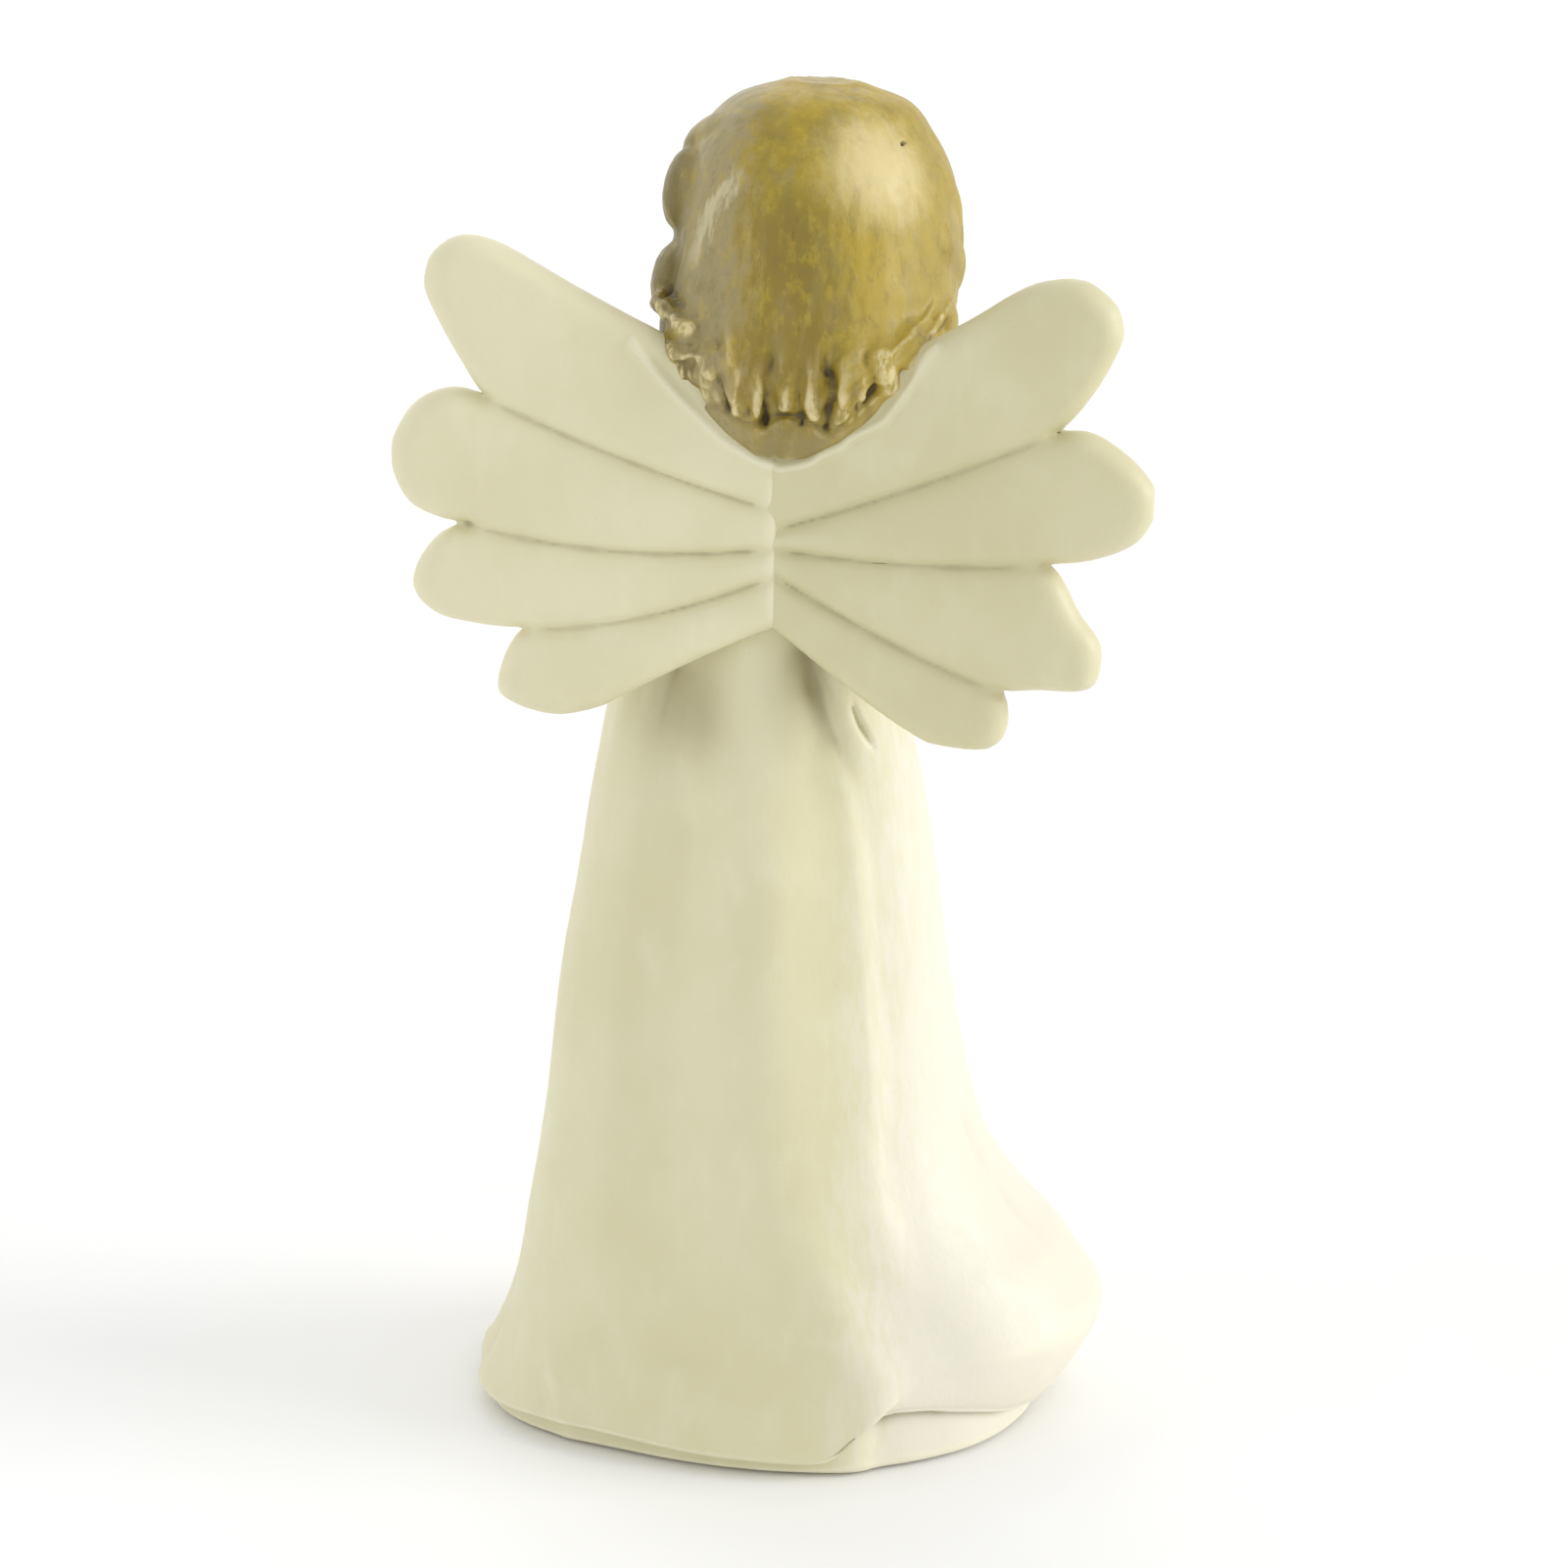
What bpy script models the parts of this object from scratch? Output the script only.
"""Resin angel figurine: a hollow-cast gown on a felt pad, a head with a cap of curled hair,
two four-feathered wings, two sleeved arms and a pair of hands pressed together.

Every casting is its own solid.  Steel pins hold the wings, the arms and the head to the gown,
in blind bores, with a glue gap of FIT_GAP between neighbouring pieces.

Frame: millimetres in this file, metres in the scene.  +Z is up, the origin is the centre of the
felt pad's underside, the face looks along -Y and the figure's left hand is on +X.
Run it with: blender --background --python part.py
"""

import math

import bmesh
import bpy
from mathutils import Matrix, Vector

MM = 0.001

# ---------------------------------------------------------------- driving dimensions, in mm
FIT_GAP = 0.3             # glue gap between neighbouring castings
PAD_PROUD = 0.4           # the felt pad stands this far below the gown's rim
PAD_THICKNESS = 1.0
PLUG_THICKNESS = 4.0
GOWN_WALL = 4.0           # wall of the slush-cast gown
CAVITY_TOP = 80.0         # the torso above this height is solid
SHOULDER_CENTRE_X = -3.1  # the figure leans a little to its right as it rises
PIN_RADIUS = 1.0

# The gown's outside: height, then its reach to +X, -X, +Y (back) and -Y (front).
GOWN_STATIONS = (
    (2.0, 29.9, 30.6, 22.7, 23.0),
    (4.0, 28.7, 32.4, 22.3, 22.7),
    (7.0, 27.4, 34.5, 21.7, 22.1),
    (10.5, 26.3, 35.4, 21.0, 21.3),
    (14.0, 25.5, 34.4, 20.3, 20.5),
    (17.5, 24.9, 31.6, 19.6, 19.8),
    (21.0, 24.3, 28.2, 19.0, 19.1),
    (25.0, 23.5, 25.2, 18.3, 18.3),
    (29.0, 22.8, 22.9, 17.7, 17.6),
    (34.0, 22.0, 21.2, 16.9, 16.9),
    (46.0, 20.5, 19.1, 15.3, 15.4),
    (58.0, 18.6, 17.6, 13.9, 14.2),
    (68.0, 17.2, 16.0, 12.8, 13.2),
    (76.0, 13.4, 14.1, 12.1, 11.8),
    (84.0, 8.9, 12.7, 11.6, 10.8),
    (91.0, 7.2, 13.0, 10.9, 9.6),
    (96.0, 6.0, 12.2, 9.4, 8.2),
    (100.0, 3.4, 9.9, 7.2, 6.4),
    (103.5, 1.6, 8.4, 5.4, 5.0),
)
GOWN_RING_HEIGHTS = (2.0, 4.0, 7.0, 10.5, 14.0, 17.5, 21.0, 25.0, 29.0, 35.0, 43.0, 51.0, 59.0,
                     66.0, 72.0, 78.0, 84.0, 91.0, 96.0, 100.0, 103.5)
GOWN_SQUARENESS = 2.15    # exponent of the superellipse section
GOWN_RING_POINTS = 56
HEM_RIM_HEIGHT = PAD_PROUD
HEM_UNDERCUT = 0.9        # the hem overhangs the rim that it stands on by this much

# Soft folds: angle at the hem and at the waist in degrees (0 is +X, 90 the back), height in mm
# at the hem and at the waist, and half-width in degrees.
GOWN_FOLDS = (
    (101.0, 94.0, 1.0, 1.1, 15.0),
    (66.0, 66.0, -0.5, -1.3, 13.0),
    (128.0, 120.0, 0.7, -1.1, 13.0),
    (33.0, 38.0, 0.6, 0.4, 14.0),
    (165.0, 160.0, -0.6, 0.3, 15.0),
    (212.0, 215.0, 0.9, 0.5, 13.0),
    (243.0, 240.0, -0.8, -0.5, 11.0),
    (270.0, 268.0, 1.0, 0.7, 11.0),
    (300.0, 298.0, -0.8, -0.5, 11.0),
    (330.0, 324.0, 0.9, 0.5, 13.0),
)
WAIST_HEIGHT = 72.0
FOLDS_END_HEIGHT = 86.0

# Where the hem is scooped up, as a wave in the cloth: angle, width in degrees, lift in mm.
HEM_SCOOPS = ((140.0, 21.0, 4.6), (58.0, 24.0, 0.7), (285.0, 18.0, 2.2), (225.0, 14.0, 1.4))

# The head group is modelled upright about the skull's centre, then bowed and tilted.
SKULL_CENTRE = (-5.0, -1.6, 120.5)
HEAD_BOW = math.radians(4.0)
HEAD_TILT = math.radians(-2.5)
SKULL_RADII = (11.6, 12.4, 14.4)
NECK_RADIUS = 4.3
NECK_SPIGOT_RADIUS = 3.2
NECK_SOCKET_TOP = 103.5
NECK_SOCKET_DEPTH = 7.0

# The hair's outside, about the skull's centre: height, reach to +X, -X, +Y and -Y.
HAIR_STATIONS = (
    (-19.1, 2.8, 2.4, 16.6, -10.2),
    (-16.8, 6.4, 5.6, 17.2, -7.0),
    (-13.2, 11.2, 10.4, 17.8, -1.6),
    (-9.4, 13.6, 13.0, 18.0, 5.5),
    (-4.5, 14.9, 14.4, 17.5, 11.0),
    (0.0, 14.7, 14.9, 16.4, 13.0),
    (4.0, 15.0, 14.2, 15.8, 14.0),
    (7.5, 13.9, 13.2, 14.6, 13.8),
    (11.0, 11.4, 11.2, 12.3, 12.4),
    (13.8, 8.0, 8.6, 9.0, 9.6),
    (15.6, 3.6, 4.0, 4.0, 4.4),
)
HAIR_SQUARENESS = (3.0, 2.1)   # of the sections below the ears, and of those above
FACE_OPENING_CENTRE = (0.0, -3.6)
FACE_OPENING_RADII = (8.6, 12.2)
FACE_OPENING_BACK = -3.5  # the opening reaches this far back, along Y

# Wings, as (outward, height) in the wing's plane.  EDGES are the upper edge, the three grooves
# between feathers and the lower edge, each from root over a bend to its end.  TIPS hold, for each
# feather, the pairs of outline points above and below its middle, from the grooves' ends outward.
WING_EDGES = {
    "left": (
        ((0.0, 109.3), (12.0, 114.6), (22.2, 119.9)),
        ((0.0, 97.2), (14.0, 101.0), (27.6, 107.6)),
        ((0.0, 93.4), (14.0, 91.2), (29.4, 95.0)),
        ((0.0, 90.6), (12.0, 85.0), (24.2, 84.7)),
        ((0.0, 85.6), (8.0, 82.0), (16.5, 77.2)),
    ),
    "right": (
        ((0.0, 107.8), (13.0, 111.6), (22.0, 117.9)),
        ((0.0, 95.0), (14.0, 99.4), (27.1, 105.5)),
        ((0.0, 93.3), (14.0, 91.6), (26.5, 92.8)),
        ((0.0, 91.0), (11.0, 84.0), (22.4, 80.1)),
        ((0.0, 85.7), (7.0, 79.5), (15.0, 74.7)),
    ),
}
FEATHER_TIPS = {
    "left": (
        (((26.2, 122.2), (29.5, 110.8)), ((29.6, 122.8), (31.3, 114.0)), ((32.0, 121.4), (32.9, 117.6))),
        (((31.0, 108.1), (32.3, 95.7)), ((34.2, 106.7), (35.0, 97.2)), ((36.1, 104.0), (36.4, 99.9))),
        (((32.2, 93.8), (28.6, 85.2)), ((34.0, 91.6), (32.0, 85.9)), ((34.8, 89.4), (33.9, 87.2))),
        (((25.8, 82.4), (20.6, 76.2)), ((26.6, 80.0), (23.8, 76.7)), ((26.7, 78.6), (25.6, 77.5))),
    ),
    "right": (
        (((25.4, 119.6), (29.3, 107.8)), ((29.4, 119.9), (31.6, 111.2)), ((32.2, 118.0), (33.1, 114.6))),
        (((30.4, 105.5), (31.0, 93.6)), ((33.9, 103.4), (34.6, 95.2)), ((36.2, 100.9), (36.3, 97.6))),
        (((27.9, 91.2), (25.6, 80.5)), ((29.6, 87.9), (29.4, 80.6)), ((31.4, 85.4), (31.1, 81.3))),
        (((22.9, 77.6), (18.6, 74.2)), ((22.6, 75.9), (20.8, 74.3)), ((22.1, 75.1), (21.6, 74.7))),
    ),
}
WING_ROOT_Y = 12.4        # middle of the plate at the root
WING_SWEEP = 0.055        # it leans back by this much for each mm outward
FEATHER_HALF_THICKNESS = 2.1
GROOVE_HALF_THICKNESS = 1.2
EDGE_HALF_THICKNESS = 1.0
FEATHER_ROWS = 6          # rows of faces from the root to the grooves' ends
FEATHER_COLUMNS = 6       # columns of faces across a feather
ROOT_THICKENING = 1.8     # the root's front stands this much proud, to seat on the gown
ROOT_THICKENING_REACH = 7.0
WING_PIN_OUTWARD = 4.2
WING_PIN_HEIGHTS = {"upper": 97.0, "lower": 88.5}
WING_PIN_SPAN_Y = (6.6, 13.2)

# Arms: points on the figure's left, measured from the lean's centre line.
SHOULDER = (10.2, 0.2, 90.4)
ELBOW = (12.6, -3.0, 74.0)
WRIST = (3.9, -15.4, 82.2)
ARM_RADII = {"shoulder": 4.4, "elbow": 4.5}
SLEEVE_HALF_WIDTHS = (3.8, 4.2, 4.5, 4.6)    # elbow to cuff
SLEEVE_DROPS = (0.5, 4.0, 8.5, 12.5)         # how far it hangs below the forearm, elbow to cuff
CUFF_WALL = 1.2
CUFF_DEPTH_SHARE = 0.45   # share of the forearm that is hollow
ARM_CENTRE_X = -2.3       # the lean's centre line at the height of the hands
SHOULDER_PIN_SPAN = (5.0, 12.6)
ARM_PARTING = 0.2         # half the gap between the two sleeves

# Hands: breadth and thickness at stations along the hand, from wrist to fingertips.
HAND_ROOT = (1.75, -13.6, 80.4)
HAND_TIP = (1.25, -19.4, 96.4)
HAND_SECTIONS = ((0.0, 2.1, 1.35), (0.25, 2.1, 1.35), (0.42, 2.9, 1.5), (0.6, 3.1, 1.5),
                 (0.8, 2.6, 1.2), (0.93, 1.9, 0.95), (1.0, 0.9, 0.5))
HAND_PARTING = 0.15

COLOURS = {
    "cream_gown": (0.80, 0.76, 0.57, 1.0),
    "cream_wings": (0.78, 0.73, 0.53, 1.0),
    "painted_hair": (0.36, 0.27, 0.09, 1.0),
    "painted_skin": (0.78, 0.55, 0.40, 1.0),
    "bare_resin": (0.72, 0.68, 0.58, 1.0),
    "pin_steel": (0.55, 0.55, 0.56, 1.0),
    "felt": (0.30, 0.22, 0.14, 1.0),
}
ROUGHNESS = {"pin_steel": 0.35, "felt": 1.0}
DEFAULT_ROUGHNESS = 0.6


# ---------------------------------------------------------------- curves and sections
def interpolated(stations, height, column):
    """Smooth value of one column of a station table at a height (cubic Hermite)."""
    heights = [row[0] for row in stations]
    last = len(stations) - 1
    height = min(max(height, heights[0]), heights[last])
    i = max(k for k in range(last) if heights[k] <= height)

    def slope(k):
        low, high = max(k - 1, 0), min(k + 1, last)
        rise = stations[high][column] - stations[low][column]
        return rise / (heights[high] - heights[low])

    span = heights[i + 1] - heights[i]
    t = (height - heights[i]) / span
    start, end = stations[i][column], stations[i + 1][column]
    return (
        (2 * t**3 - 3 * t**2 + 1) * start
        + (t**3 - 2 * t**2 + t) * span * slope(i)
        + (3 * t**2 - 2 * t**3) * end
        + (t**3 - t**2) * span * slope(i + 1)
    )


def signed_power(value, power):
    return math.copysign(abs(value) ** power, value)


def angle_between(a, b):
    """Smallest difference between two angles in degrees."""
    return (a - b + 180.0) % 360.0 - 180.0


def station_ring(stations, height, count, squareness, grow=0.0):
    """One closed section of a station table, as (x, y, angle in degrees) triples."""
    left, right, back, front = (interpolated(stations, height, c) for c in (1, 2, 3, 4))
    centre_x, centre_y = (left - right) / 2, (back - front) / 2
    half_x, half_y = (left + right) / 2 + grow, (back + front) / 2 + grow
    ring = []
    for k in range(count):
        angle = 2 * math.pi * k / count
        x = centre_x + half_x * signed_power(math.cos(angle), 2 / squareness)
        y = centre_y + half_y * signed_power(math.sin(angle), 2 / squareness)
        ring.append((x, y, math.degrees(angle)))
    return ring


def fold_height(angle, height):
    """How far the cloth stands out at an angle, in degrees, and a height."""
    share = min(max(height / WAIST_HEIGHT, 0.0), 1.0)
    fade = min(max((FOLDS_END_HEIGHT - height) / (FOLDS_END_HEIGHT - WAIST_HEIGHT), 0.0), 1.0)
    total = 0.0
    for hem_angle, waist_angle, hem_size, waist_size, width in GOWN_FOLDS:
        centre = hem_angle + (waist_angle - hem_angle) * share
        size = hem_size + (waist_size - hem_size) * share
        total += size * math.exp(-((angle_between(angle, centre) / width) ** 2))
    return total * fade


def hem_lift(angle):
    return sum(
        lift * math.exp(-((angle_between(angle, centre) / width) ** 2))
        for centre, width, lift in HEM_SCOOPS
    )


def gown_ring(height, grow=0.0):
    """The gown's outside at one height, folds included; the lowest rings follow the hem."""
    lowest = GOWN_RING_HEIGHTS[0]
    ring = []
    for x, y, angle in station_ring(GOWN_STATIONS, height, GOWN_RING_POINTS, GOWN_SQUARENESS,
                                    grow):
        out = Vector((x, y, 0.0)).normalized() * fold_height(angle, height)
        lift = hem_lift(angle) * max(0.0, 1.0 - (height - lowest) / 10.0)
        ring.append(Vector((x, y, height + lift)) + out)
    return ring


def gown_rim_ring(inset, height, grow=0.0):
    """The flat rim under the hem, drawn in from the hem's own outline."""
    ring = []
    for x, y, angle in station_ring(GOWN_STATIONS, GOWN_RING_HEIGHTS[0], GOWN_RING_POINTS,
                                    GOWN_SQUARENESS, grow - inset):
        out = Vector((x, y, 0.0)).normalized() * fold_height(angle, 0.0)
        ring.append(Vector((x, y, height)) + out)
    return ring


# ---------------------------------------------------------------- meshes
def mesh_object(name, work):
    """Turns a bmesh in millimetres into a scene object in metres."""
    bmesh.ops.recalc_face_normals(work, faces=work.faces)
    bmesh.ops.scale(work, vec=(MM, MM, MM), verts=work.verts)
    mesh = bpy.data.meshes.new(name)
    work.to_mesh(mesh)
    work.free()
    obj = bpy.data.objects.new(name, mesh)
    bpy.context.scene.collection.objects.link(obj)
    return obj


def loft(name, rings):
    """A closed solid through rings of equal length, each end closed by a fan."""
    work = bmesh.new()
    rows = [[work.verts.new(point) for point in ring] for ring in rings]
    for lower, upper in zip(rows, rows[1:]):
        for k in range(len(lower)):
            n = (k + 1) % len(lower)
            work.faces.new((lower[k], lower[n], upper[n], upper[k]))
    for row in (rows[0], rows[-1]):
        middle = work.verts.new(sum((v.co for v in row), Vector()) / len(row))
        for k in range(len(row)):
            work.faces.new((row[k], row[(k + 1) % len(row)], middle))
    return mesh_object(name, work)


def rod(name, start, end, radius, segments=16, end_radius=None):
    """A cylinder or cone frustum from start to end."""
    start, end = Vector(start), Vector(end)
    work = bmesh.new()
    bmesh.ops.create_cone(
        work, cap_ends=True, segments=segments, radius1=radius,
        radius2=radius if end_radius is None else end_radius, depth=(end - start).length,
    )
    turn = (end - start).to_track_quat("Z", "Y").to_matrix().to_4x4()
    bmesh.ops.transform(work, matrix=Matrix.Translation((start + end) / 2) @ turn,
                        verts=work.verts)
    return mesh_object(name, work)


def capsule(name, start, end, start_radius, end_radius, segments=18, cap_rings=4):
    """A tapered rod with round ends."""
    start, end = Vector(start), Vector(end)
    along = (end - start).normalized()
    side = along.orthogonal().normalized()
    other = along.cross(side)
    stations = []
    for k in range(cap_rings):
        lean = math.radians(90) * (1 - (k + 0.6) / cap_rings)
        stations.append((start, start_radius, -lean))
    for k in reversed(range(cap_rings)):
        lean = math.radians(90) * (1 - (k + 0.6) / cap_rings)
        stations.append((end, end_radius, lean))
    rings = []
    for centre, radius, lean in stations:
        middle = centre + along * (radius * math.sin(lean))
        reach = radius * math.cos(lean)
        rings.append([
            middle + (side * math.cos(a) + other * math.sin(a)) * reach
            for a in (2 * math.pi * k / segments for k in range(segments))
        ])
    return loft(name, rings)


def box(name, low, high):
    work = bmesh.new()
    bmesh.ops.create_cube(work, size=1.0)
    low, high = Vector(low), Vector(high)
    bmesh.ops.scale(work, vec=high - low, verts=work.verts)
    bmesh.ops.translate(work, vec=(low + high) / 2, verts=work.verts)
    return mesh_object(name, work)


def ellipsoid(name, centre, radii, segments=28, rings=18):
    work = bmesh.new()
    bmesh.ops.create_uvsphere(work, u_segments=segments, v_segments=rings, radius=1.0)
    bmesh.ops.scale(work, vec=radii, verts=work.verts)
    bmesh.ops.translate(work, vec=centre, verts=work.verts)
    return mesh_object(name, work)


def helper(obj):
    """Marks a cutter or an added shape, which is not a piece of its own."""
    obj.hide_render = True
    obj.display_type = "WIRE"
    return obj


def combine(target, operation, *others):
    for other in others:
        modifier = target.modifiers.new(f"{operation.lower()}_{other.name}", "BOOLEAN")
        modifier.operation = operation
        modifier.solver = "EXACT"
        modifier.object = helper(other)
    return target


def paint(obj, slot):
    material = bpy.data.materials.get(slot)
    if material is None:
        material = bpy.data.materials.new(slot)
        material.use_nodes = True
        shader = material.node_tree.nodes["Principled BSDF"]
        shader.inputs["Base Color"].default_value = COLOURS[slot]
        shader.inputs["Roughness"].default_value = ROUGHNESS.get(slot, DEFAULT_ROUGHNESS)
        shader.inputs["Metallic"].default_value = 1.0 if slot == "pin_steel" else 0.0
    obj.data.materials.append(material)
    obj.data.shade_smooth()
    return obj


# ---------------------------------------------------------------- gown, plug and pad
def gown_solid(name, grow=0.0):
    rings = [gown_rim_ring(HEM_UNDERCUT, HEM_RIM_HEIGHT, grow)]
    rings += [gown_ring(height, grow) for height in GOWN_RING_HEIGHTS]
    rings[-1] = [point + Vector((0.0, 0.0, grow)) for point in rings[-1]]
    return loft(name, rings)


def cavity_ring(height, inset):
    """The hollow's section: the gown's, drawn in by the wall and with no folds."""
    section = max(height, GOWN_RING_HEIGHTS[0])
    return [Vector((x, y, height))
            for x, y, _ in station_ring(GOWN_STATIONS, section, 32, 2.1, -inset)]


def cavity_cutter():
    """The hollow, open downwards, with an upright mouth that takes the plug and the pad."""
    mouth = HEM_UNDERCUT + GOWN_WALL
    mouth_top = PAD_THICKNESS + PLUG_THICKNESS + 2 * FIT_GAP
    rings = [mouth_ring(0.0, -1.0), mouth_ring(0.0, mouth_top)]
    for height in (mouth_top + 2.5, 26.0, 44.0, 60.0, 72.0):
        rings.append(cavity_ring(height, mouth + 1.2 if height < 20.0 else GOWN_WALL + 1.6))
    rings.append([point.lerp(Vector((-1.2, 0.0, CAVITY_TOP)), 0.55)
                  for point in cavity_ring(CAVITY_TOP, GOWN_WALL + 1.6)])
    return loft("cavity", rings)


def mouth_ring(inset, height):
    """The mouth's outline, drawn in by inset, at a height."""
    total = HEM_UNDERCUT + GOWN_WALL + inset
    return [Vector((x, y, height)) for x, y, _ in
            station_ring(GOWN_STATIONS, GOWN_RING_HEIGHTS[0], 32, 2.1, -total)]


def make_gown(cutters):
    gown = gown_solid("gown_shell")
    return paint(combine(gown, "DIFFERENCE", *cutters), "cream_gown")


def make_base():
    plug_low = PAD_THICKNESS + FIT_GAP
    plug = loft("base_plug", [mouth_ring(FIT_GAP, plug_low),
                              mouth_ring(FIT_GAP, plug_low + PLUG_THICKNESS)])
    pad = loft("felt_pad", [mouth_ring(FIT_GAP, 0.0), mouth_ring(FIT_GAP, PAD_THICKNESS)])
    return paint(plug, "bare_resin"), paint(pad, "felt")


# ---------------------------------------------------------------- head and hair
def head_pose():
    return (Matrix.Translation(Vector(SKULL_CENTRE) * MM)
            @ Matrix.Rotation(HEAD_TILT, 4, "Y") @ Matrix.Rotation(HEAD_BOW, 4, "X"))


def posed(obj):
    """Moves a shape made about the skull's centre to where the head is."""
    obj.data.transform(head_pose())
    return obj


def neck_line():
    """Base of the neck in its socket, its top edge, and a point inside the skull."""
    top = Vector((SHOULDER_CENTRE_X - 0.5, 0.2, NECK_SOCKET_TOP))
    foot = top - Vector((0.0, 0.0, NECK_SOCKET_DEPTH))
    return foot, top, Vector(SKULL_CENTRE) - Vector((0.0, -1.0, 4.0))


def upright_loft(name, start, end, radius):
    """A round column whose two ends are level even where its axis leans."""
    return loft(name, [
        [centre + Vector((math.cos(a), math.sin(a), 0.0)) * radius
         for a in (2 * math.pi * k / 24 for k in range(24))]
        for centre in (start, end)
    ])


def head_shapes(prefix, grow):
    """The skull, the jaw, the neck and its spigot, each larger by grow."""
    foot, top, inside = neck_line()
    radii = [r + grow for r in SKULL_RADII]
    skull = posed(ellipsoid(prefix + "skull", (0.0, 0.6, 1.6), (radii[0], radii[1], radii[2] - 1.6)))
    jaw = posed(ellipsoid(prefix + "jaw", (0.0, -3.2, -5.0),
                          (8.6 + grow, 8.6 + grow, 9.6 + grow), 24, 14))
    nose = posed(ellipsoid(prefix + "nose", (0.0, -11.9, -3.4),
                           (1.5 + grow, 1.9 + grow, 2.2 + grow), 12, 8))
    neck = upright_loft(prefix + "neck", top + Vector((0.0, 0.0, FIT_GAP)), inside,
                        NECK_RADIUS + grow)
    spigot = rod(prefix + "spigot", foot + Vector((0.0, 0.0, FIT_GAP)),
                 top + Vector((0.0, 0.0, 3.0)), NECK_SPIGOT_RADIUS + grow, 20)
    return skull, [jaw, nose, neck, spigot]


def make_head(neck_pin_bore):
    skull, rest = head_shapes("head_", 0.0)
    skull.name = "head"
    combine(skull, "UNION", *rest)
    return paint(combine(skull, "DIFFERENCE", neck_pin_bore), "painted_skin")


def hair_solid(name, grow=0.0):
    rings = []
    for row in HAIR_STATIONS:
        squareness = HAIR_SQUARENESS[0 if row[0] < -8.0 else 1]
        ring = station_ring(HAIR_STATIONS, row[0], 32, squareness, grow)
        end = grow if row is HAIR_STATIONS[-1] else -grow if row is HAIR_STATIONS[0] else 0.0
        rings.append([Vector((x, y, row[0] + end)) for x, y, _ in ring])
    return posed(loft(name, rings))


def face_cutter():
    """An oval prism that opens the hair over the face."""
    rings = []
    for y in (-24.0, FACE_OPENING_BACK):
        rings.append([
            Vector((FACE_OPENING_CENTRE[0] + FACE_OPENING_RADII[0] * math.cos(a), y,
                    FACE_OPENING_CENTRE[1] + FACE_OPENING_RADII[1] * math.sin(a)))
            for a in (2 * math.pi * k / 28 for k in range(28))
        ])
    return posed(loft("face_opening", rings))


def make_hair(gown_clearance):
    hair = hair_solid("hair")
    skull, rest = head_shapes("clear_", FIT_GAP)
    under_chin = posed(box("under_chin", (-30.0, -30.0, -40.0), (30.0, -1.0, -11.0)))
    cutters = [face_cutter(), under_chin, skull, *rest, gown_clearance]
    return paint(combine(hair, "DIFFERENCE", *cutters), "painted_hair")


# ---------------------------------------------------------------- wings
def bezier(points, t):
    start, bend, end = (Vector(p) for p in points)
    return start * (1 - t) ** 2 + bend * (2 * t * (1 - t)) + end * t**2


def feather_rows(side, index):
    """Rows of (place, half-thickness) pairs across a feather, from its root to its tip."""
    upper, lower = WING_EDGES[side][index], WING_EDGES[side][index + 1]
    spans = [(bezier(upper, k / FEATHER_ROWS), bezier(lower, k / FEATHER_ROWS))
             for k in range(FEATHER_ROWS + 1)]
    spans += [(Vector(high), Vector(low)) for high, low in FEATHER_TIPS[side][index]]
    fullness = [1.0] * (FEATHER_ROWS + 1) + [0.95, 0.75, 0.3]
    rows = []
    for number, ((high, low), full) in enumerate(zip(spans, fullness)):
        row = []
        for k in range(FEATHER_COLUMNS + 1):
            share = k / FEATHER_COLUMNS
            outer = number > FEATHER_ROWS or (index == 0 and k == 0) or (
                index == len(WING_EDGES[side]) - 2 and k == FEATHER_COLUMNS)
            rim = EDGE_HALF_THICKNESS if outer else GROOVE_HALF_THICKNESS
            arch = math.sin(math.pi * share) ** 0.6 if 0 < k < FEATHER_COLUMNS else 0.0
            row.append((high.lerp(low, share), rim + (FEATHER_HALF_THICKNESS - rim) * arch * full))
        rows.append(row)
    return rows


def wing_plate(name, side):
    """All four feathers as one closed mesh that is thinnest along the grooves and the rim."""
    sign = 1.0 if side == "left" else -1.0
    work = bmesh.new()
    corners = {}

    def corner(place, half, face):
        key = (round(place.x, 3), round(place.y, 3), face)
        if key not in corners:
            depth = WING_ROOT_Y + WING_SWEEP * place.x + face * half
            if face < 0:
                depth -= ROOT_THICKENING * math.exp(-((place.x / ROOT_THICKENING_REACH) ** 2))
            x = SHOULDER_CENTRE_X + sign * (place.x + FIT_GAP / 2)
            corners[key] = work.verts.new((x, depth, place.y))
        return corners[key]

    def wall(a, b):
        work.faces.new([corner(*a, 1), corner(*b, 1), corner(*b, -1), corner(*a, -1)])

    feathers = len(WING_EDGES[side]) - 1
    for index in range(feathers):
        rows = feather_rows(side, index)
        for number, (row, after) in enumerate(zip(rows, rows[1:])):
            for face in (1, -1):
                for k in range(FEATHER_COLUMNS):
                    work.faces.new([corner(*row[k], face), corner(*row[k + 1], face),
                                    corner(*after[k + 1], face), corner(*after[k], face)])
            in_tip = number >= FEATHER_ROWS
            if in_tip or index == 0:
                wall(row[0], after[0])
            if in_tip or index == feathers - 1:
                wall(row[-1], after[-1])
        for end in (rows[0], rows[-1]):
            for a, b in zip(end, end[1:]):
                wall(a, b)
    return mesh_object(name, work)


def wing_pin_axis(side, level):
    sign = 1.0 if side == "left" else -1.0
    x = SHOULDER_CENTRE_X + sign * WING_PIN_OUTWARD
    return [Vector((x, y, WING_PIN_HEIGHTS[level])) for y in WING_PIN_SPAN_Y]


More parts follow.
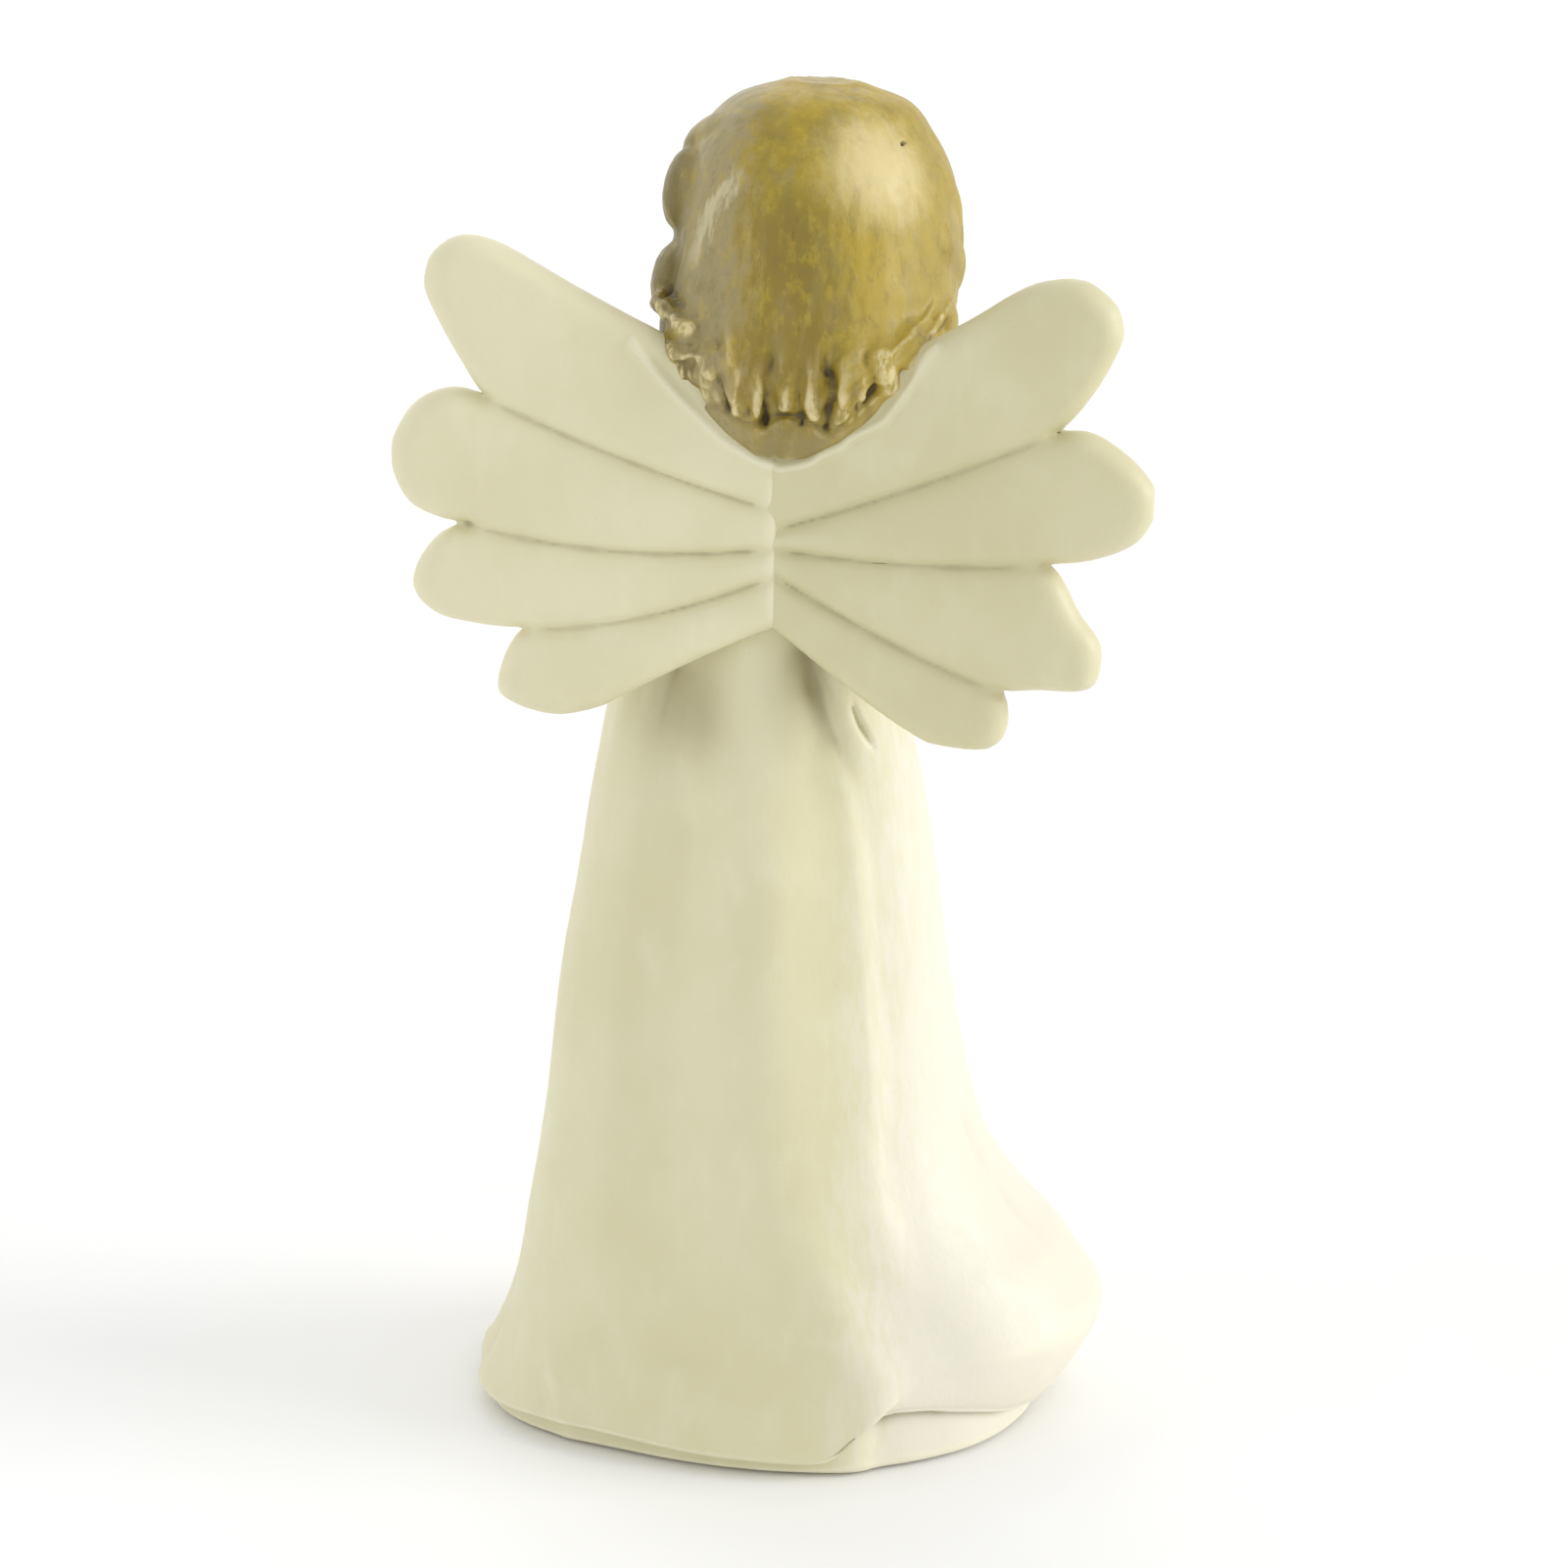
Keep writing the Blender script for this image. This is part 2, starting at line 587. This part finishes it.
def make_wing(side, gown_clearance, hair_clearance):
    wing = wing_plate(f"wing_{side}", side)
    bores = [pin_bore(f"bore_wing_{side}_{level}", *wing_pin_axis(side, level))
             for level in WING_PIN_HEIGHTS]
    combine(wing, "DIFFERENCE", gown_clearance, hair_clearance, *bores)
    return paint(wing, "cream_wings")


# ---------------------------------------------------------------- pins
def pin(name, start, end):
    return paint(rod(name, start, end, PIN_RADIUS, 16), "pin_steel")


def pin_bore(name, start, end):
    """A bore round a pin, longer than it at both ends by the glue gap."""
    reach = (end - start).normalized() * FIT_GAP
    return rod(name, start - reach, end + reach, PIN_RADIUS + FIT_GAP, 16)


def neck_pin_axis():
    foot, top, _ = neck_line()
    return foot - Vector((0.0, 0.0, 5.0)), foot + Vector((0.0, 0.0, 6.0))


def shoulder_pin_axis(side):
    sign = 1.0 if side == "left" else -1.0
    return [Vector((SHOULDER_CENTRE_X + sign * x, SHOULDER[1], SHOULDER[2] - 2.0))
            for x in SHOULDER_PIN_SPAN]


# ---------------------------------------------------------------- arms and hands
def mirrored(point, side, centre_x=ARM_CENTRE_X):
    """A point given for the figure's left, put on the side asked for."""
    sign = 1.0 if side == "left" else -1.0
    return Vector((centre_x + sign * point[0], point[1], point[2]))


def sleeve_ring(side, share, inset):
    """Section of the bell sleeve at a share of the forearm: round on top and hanging below."""
    elbow, wrist = mirrored(ELBOW, side), mirrored(WRIST, side)
    along = (wrist - elbow).normalized()
    down = (Vector((0.0, 0.0, -1.0)) - along * -along.z).normalized()
    across = along.cross(down)
    place = min(max(share, 0.0), 1.0) * (len(SLEEVE_DROPS) - 1)
    i = min(int(place), len(SLEEVE_DROPS) - 2)
    half = SLEEVE_HALF_WIDTHS[i] + (SLEEVE_HALF_WIDTHS[i + 1] - SLEEVE_HALF_WIDTHS[i]) * (place - i)
    drop = SLEEVE_DROPS[i] + (SLEEVE_DROPS[i + 1] - SLEEVE_DROPS[i]) * (place - i)
    ring = []
    for k in range(20):
        a = 2 * math.pi * k / 20
        below = drop if math.sin(a) > 0 else 0.0
        reach = half - inset
        narrow = 1.0 - 0.35 * max(0.0, math.sin(a)) * below / SLEEVE_DROPS[-1]
        ring.append(elbow.lerp(wrist, share) + across * (reach * narrow * math.cos(a))
                    + down * ((reach + below) * math.sin(a)))
    return ring


def make_arm(side, gown_clearance):
    shoulder = mirrored(SHOULDER, side, SHOULDER_CENTRE_X)
    arm = capsule(f"arm_{side}", shoulder, mirrored(ELBOW, side), ARM_RADII["shoulder"],
                  ARM_RADII["elbow"])
    sleeve = loft(f"sleeve_{side}", [sleeve_ring(side, k / 5, 0.0) for k in range(6)])
    combine(arm, "UNION", sleeve)
    hollow = loft(f"cuff_hollow_{side}",
                  [sleeve_ring(side, 1.0 - CUFF_DEPTH_SHARE * (1 - k / 3) + 0.04 * (k == 3),
                               CUFF_WALL) for k in range(4)])
    sign = 1.0 if side == "left" else -1.0
    edges = sorted((ARM_CENTRE_X + sign * ARM_PARTING, ARM_CENTRE_X - sign * 30.0))
    beyond = box(f"beyond_arm_{side}", (edges[0], -40.0, 50.0), (edges[1], 20.0, 110.0))
    bore = pin_bore(f"bore_shoulder_{side}", *shoulder_pin_axis(side))
    hand_room = hand_solid(f"hand_room_{side}", side, FIT_GAP)
    combine(arm, "DIFFERENCE", gown_clearance, hollow, beyond, bore, hand_room)
    return paint(arm, "cream_gown")


def hand_solid(name, side, grow=0.0):
    """A flat hand with its fingers together, thicker at the heel of the palm."""
    root, tip = mirrored(HAND_ROOT, side), mirrored(HAND_TIP, side)
    along = (tip - root).normalized()
    thick_way = Vector((1.0, 0.0, 0.0))
    breadth_way = along.cross(thick_way).normalized()
    rings = []
    for share, breadth, thickness in HAND_SECTIONS:
        end = -grow if share == 0.0 else grow if share == 1.0 else 0.0
        centre = root.lerp(tip, share) + along * end
        rings.append([
            centre + breadth_way * ((breadth + grow) * math.cos(a))
            + thick_way * ((thickness + grow) * math.sin(a))
            for a in (2 * math.pi * k / 16 for k in range(16))
        ])
    return loft(name, rings)


def make_hand(side, gown_clearance):
    hand = hand_solid(f"hand_{side}", side)
    sign = 1.0 if side == "left" else -1.0
    edges = sorted((ARM_CENTRE_X + sign * HAND_PARTING, ARM_CENTRE_X - sign * 30.0))
    beyond = box(f"beyond_hand_{side}", (edges[0], -40.0, 50.0), (edges[1], 20.0, 120.0))
    return paint(combine(hand, "DIFFERENCE", beyond, gown_clearance), "painted_skin")


# ---------------------------------------------------------------- assembly
def clear_scene():
    for obj in list(bpy.data.objects):
        bpy.data.objects.remove(obj)


def main():
    clear_scene()
    gown_clearance = gown_solid("gown_clearance", FIT_GAP)
    hair_clearance = hair_solid("hair_clearance", FIT_GAP)
    foot, top, _ = neck_line()
    neck_pin_start, neck_pin_end = neck_pin_axis()
    pins = {"neck_pin": (neck_pin_start, neck_pin_end)}
    for side in WING_EDGES:
        pins[f"shoulder_pin_{side}"] = shoulder_pin_axis(side)
        for level in WING_PIN_HEIGHTS:
            pins[f"wing_pin_{side}_{level}"] = wing_pin_axis(side, level)

    neck_socket = rod("neck_socket", foot, top + Vector((0.0, 0.0, 2.0)),
                      NECK_SPIGOT_RADIUS + FIT_GAP, 20)
    gown_bores = [pin_bore(f"gown_{name}", *axis) for name, axis in pins.items()]
    make_gown([cavity_cutter(), neck_socket, *gown_bores])
    make_base()
    make_head(pin_bore("head_pin_bore", neck_pin_start, neck_pin_end))
    make_hair(gown_clearance)
    for side in WING_EDGES:
        make_wing(side, gown_clearance, hair_clearance)
        make_arm(side, gown_clearance)
        make_hand(side, gown_clearance)
    for name, axis in pins.items():
        pin(name, *axis)


main()
